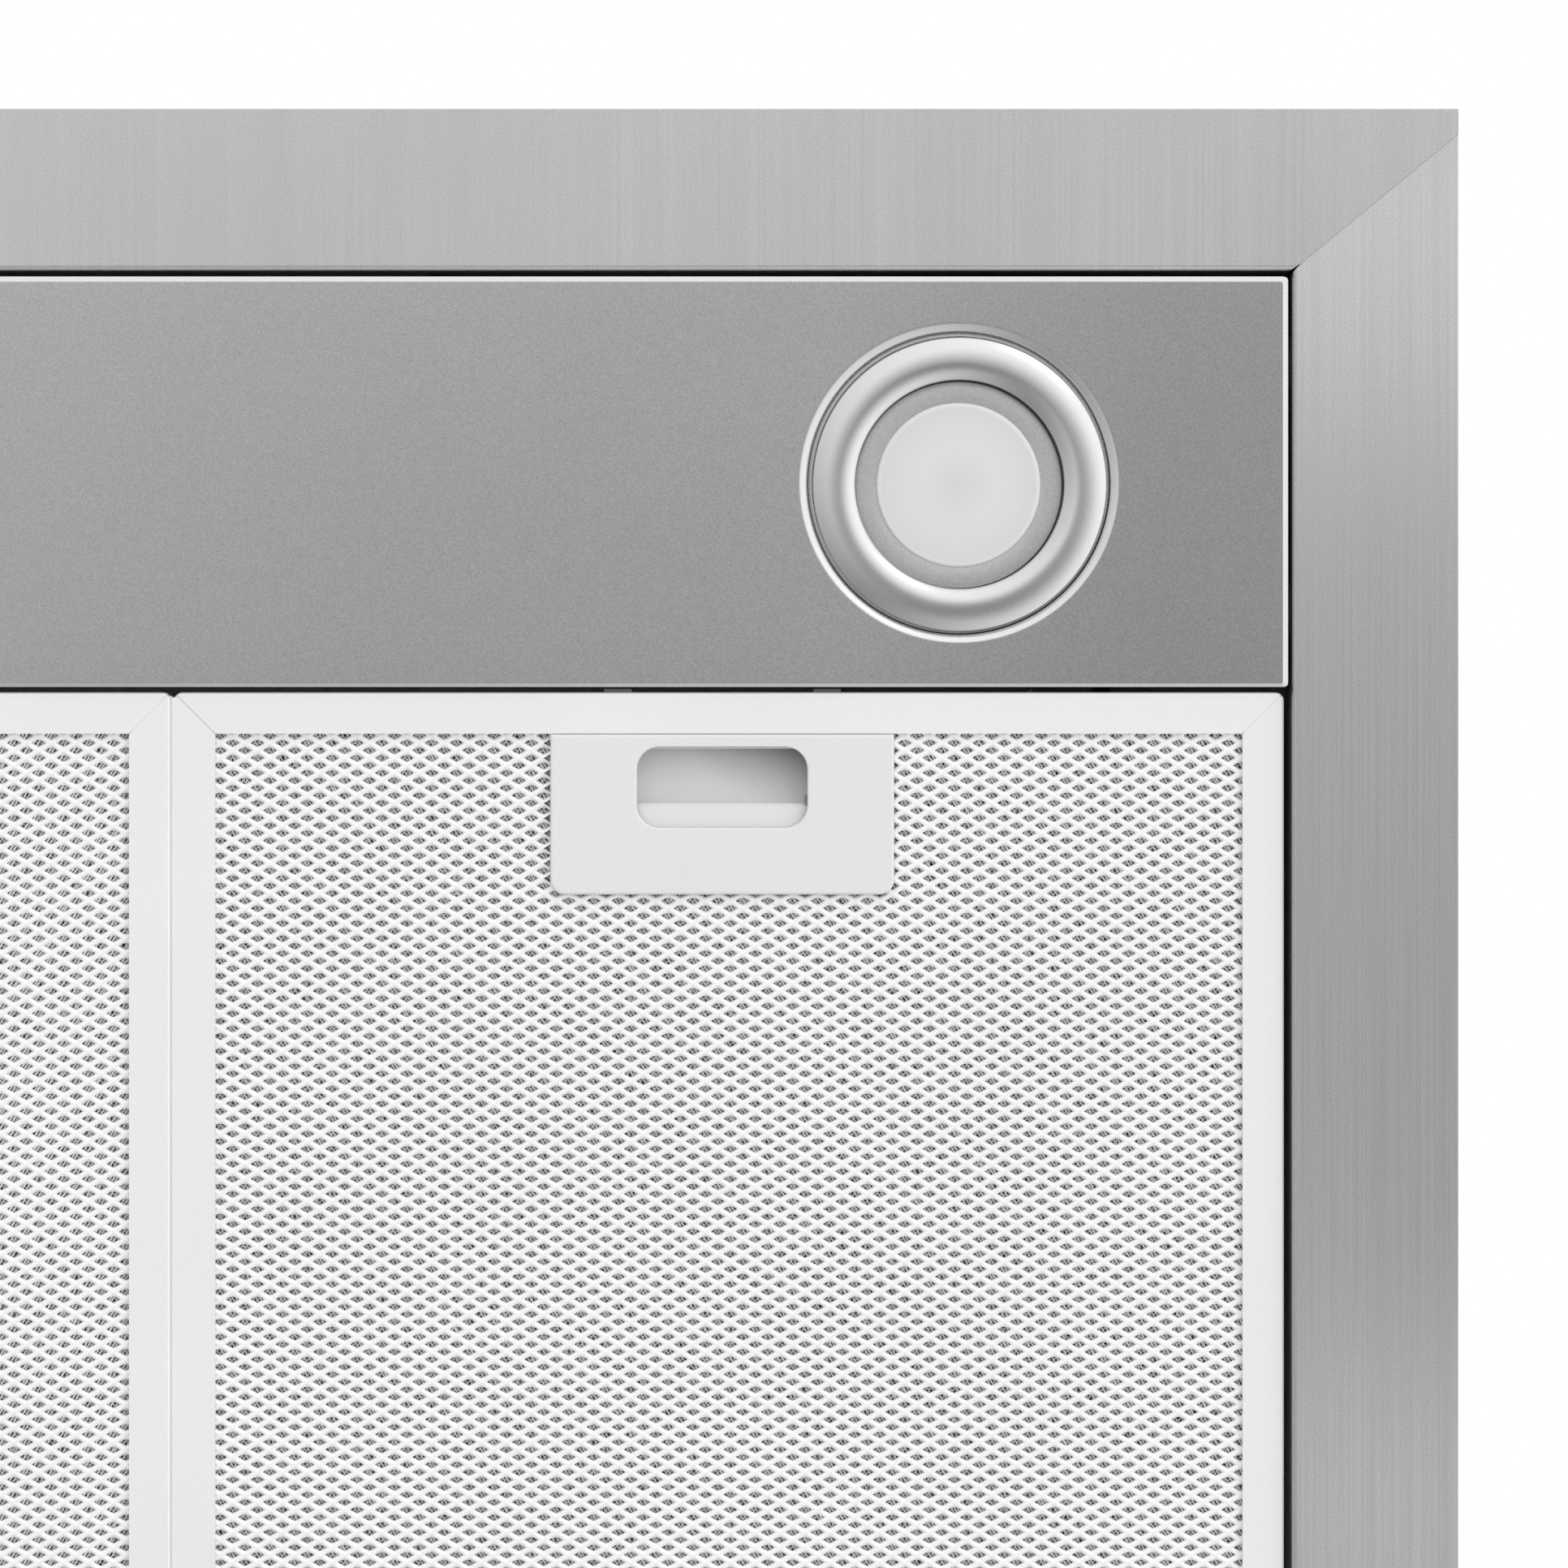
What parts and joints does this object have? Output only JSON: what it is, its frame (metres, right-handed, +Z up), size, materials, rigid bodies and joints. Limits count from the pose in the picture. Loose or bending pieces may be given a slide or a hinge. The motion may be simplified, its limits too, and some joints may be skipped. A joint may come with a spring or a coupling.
{
  "type": "range hood",
  "caption": "Wall-mounted pyramid range hood with a telescopic chimney, underside lamps, swing-down mesh grease filters with finger latches, push buttons and a blower.",
  "frame": {"origin": "centre of the four wall-fixing holes, on the wall plane", "axes": "+Z up, +Y into the wall, so the hood's front faces -Y, +X to the right seen from the front"},
  "size_m": [0.6, 0.4912, 0.5762],
  "materials": {
    "brushed_steel": "satin",
    "panel_steel": "satin",
    "galvanised_sheet": "satin",
    "zinc_screw": "satin",
    "satin_trim": "satin",
    "bulb_white": "satin",
    "lens_frosted": "satin",
    "holder_ceramic": "matte",
    "anodised_frame": "satin",
    "filter_mesh": "satin",
    "latch_plastic": "matte",
    "dark_plastic": "matte",
    "lead_jacket": "matte",
    "button_metal": "satin",
    "board_green": "satin",
    "motor_steel": "satin",
    "box_plastic": "matte"
  },
  "bodies": {
    "canopy": {"back_panel": "galvanised_sheet", "blower_rails": "galvanised_sheet", "blower_screws": "zinc_screw", "blower_scroll": "galvanised_sheet", "blower_sides": "galvanised_sheet", "cable_gland": "dark_plastic", "chimney_screws": "zinc_screw", "control_bezel": "dark_plastic", "control_board": "board_green", "damper_pins": "zinc_screw", "duct_collar": "dark_plastic", "filter_hooks": "galvanised_sheet", "front_shell": "brushed_steel", "lamp_brackets": "galvanised_sheet", "lamp_bulbs": "bulb_white", "lamp_holders": "holder_ceramic", "lamp_lenses": "lens_frosted", "lamp_panel": "panel_steel", "lamp_trims": "satin_trim", "leads": "lead_jacket", "left_shell": "brushed_steel", "lower_chimney": "brushed_steel", "motor": "motor_steel", "motor_bearings": "zinc_screw", "motor_bracket": "galvanised_sheet", "motor_capacitor": "box_plastic", "panel_straps": "galvanised_sheet", "rear_rail": "brushed_steel", "right_shell": "brushed_steel", "switch_block": "dark_plastic", "terminal_box": "box_plastic", "terminal_cover": "box_plastic", "top_plate": "galvanised_sheet"},
    "filter_left": {"filter_frame_left": "anodised_frame", "filter_mesh_left": "filter_mesh", "filter_core_left": "filter_mesh", "latch_plate_left": "latch_plastic", "latch_cover_left": "latch_plastic", "latch_spring_left": "zinc_screw"},
    "latch_left": {"latch_slider_left": "latch_plastic"},
    "filter_right": {"filter_frame_right": "anodised_frame", "filter_mesh_right": "filter_mesh", "filter_core_right": "filter_mesh", "latch_plate_right": "latch_plastic", "latch_cover_right": "latch_plastic", "latch_spring_right": "zinc_screw"},
    "latch_right": {"latch_slider_right": "latch_plastic"},
    "button_power": {"button_power": "button_metal"},
    "button_speed_1": {"button_speed_1": "button_metal"},
    "button_speed_2": {"button_speed_2": "button_metal"},
    "button_speed_3": {"button_speed_3": "button_metal"},
    "button_light": {"button_light": "button_metal"},
    "blower_wheel": {"impeller": "dark_plastic", "motor_shaft": "zinc_screw"},
    "damper_front": {"damper_flap_front": "dark_plastic"},
    "damper_rear": {"damper_flap_rear": "dark_plastic"},
    "upper_chimney": {"upper_chimney": "brushed_steel", "chimney_bracket": "galvanised_sheet", "bracket_screws": "zinc_screw"}
  },
  "joints": [
    {"name": "filter_left_swing", "type": "hinge", "parent": "canopy", "child": "filter_left", "pos_m": [0, -0.0368, -0.126], "axis": [1, 0, 0], "range_deg": [0, 70]},
    {"name": "latch_left_slide", "type": "slide", "parent": "filter_left", "child": "latch_left", "axis": [0, 1, 0], "range_m": [0, 0.004], "stiffness_N_per_m": 600, "springref_m": -0.002, "deforming": ["latch_spring_left"]},
    {"name": "filter_right_swing", "type": "hinge", "parent": "canopy", "child": "filter_right", "pos_m": [0, -0.0368, -0.126], "axis": [1, 0, 0], "range_deg": [0, 70]},
    {"name": "latch_right_slide", "type": "slide", "parent": "filter_right", "child": "latch_right", "axis": [0, 1, 0], "range_m": [0, 0.004], "stiffness_N_per_m": 600, "springref_m": -0.002, "deforming": ["latch_spring_right"]},
    {"name": "button_power_press", "type": "slide", "parent": "canopy", "child": "button_power", "axis": [0, 1, 0], "range_m": [0, 0.0022], "stiffness_N_per_m": 500, "springref_m": -0.001},
    {"name": "button_speed_1_press", "type": "slide", "parent": "canopy", "child": "button_speed_1", "axis": [0, 1, 0], "range_m": [0, 0.0022], "stiffness_N_per_m": 500, "springref_m": -0.001},
    {"name": "button_speed_2_press", "type": "slide", "parent": "canopy", "child": "button_speed_2", "axis": [0, 1, 0], "range_m": [0, 0.0022], "stiffness_N_per_m": 500, "springref_m": -0.001},
    {"name": "button_speed_3_press", "type": "slide", "parent": "canopy", "child": "button_speed_3", "axis": [0, 1, 0], "range_m": [0, 0.0022], "stiffness_N_per_m": 500, "springref_m": -0.001},
    {"name": "button_light_press", "type": "slide", "parent": "canopy", "child": "button_light", "axis": [0, 1, 0], "range_m": [0, 0.0022], "stiffness_N_per_m": 500, "springref_m": -0.001},
    {"name": "blower_spin", "type": "hinge", "parent": "canopy", "child": "blower_wheel", "pos_m": [0, -0.12, 0.172], "axis": [1, 0, 0], "continuous": true},
    {"name": "damper_front_swing", "type": "hinge", "parent": "canopy", "child": "damper_front", "pos_m": [0, -0.1235, 0.294], "axis": [-1, 0, 0], "range_deg": [0, 80]},
    {"name": "damper_rear_swing", "type": "hinge", "parent": "canopy", "child": "damper_rear", "pos_m": [0, -0.1165, 0.294], "axis": [1, 0, 0], "range_deg": [0, 80]},
    {"name": "upper_chimney_slide", "type": "slide", "parent": "canopy", "child": "upper_chimney", "axis": [0, 0, 1], "range_m": [0, 0.22]}
  ]
}
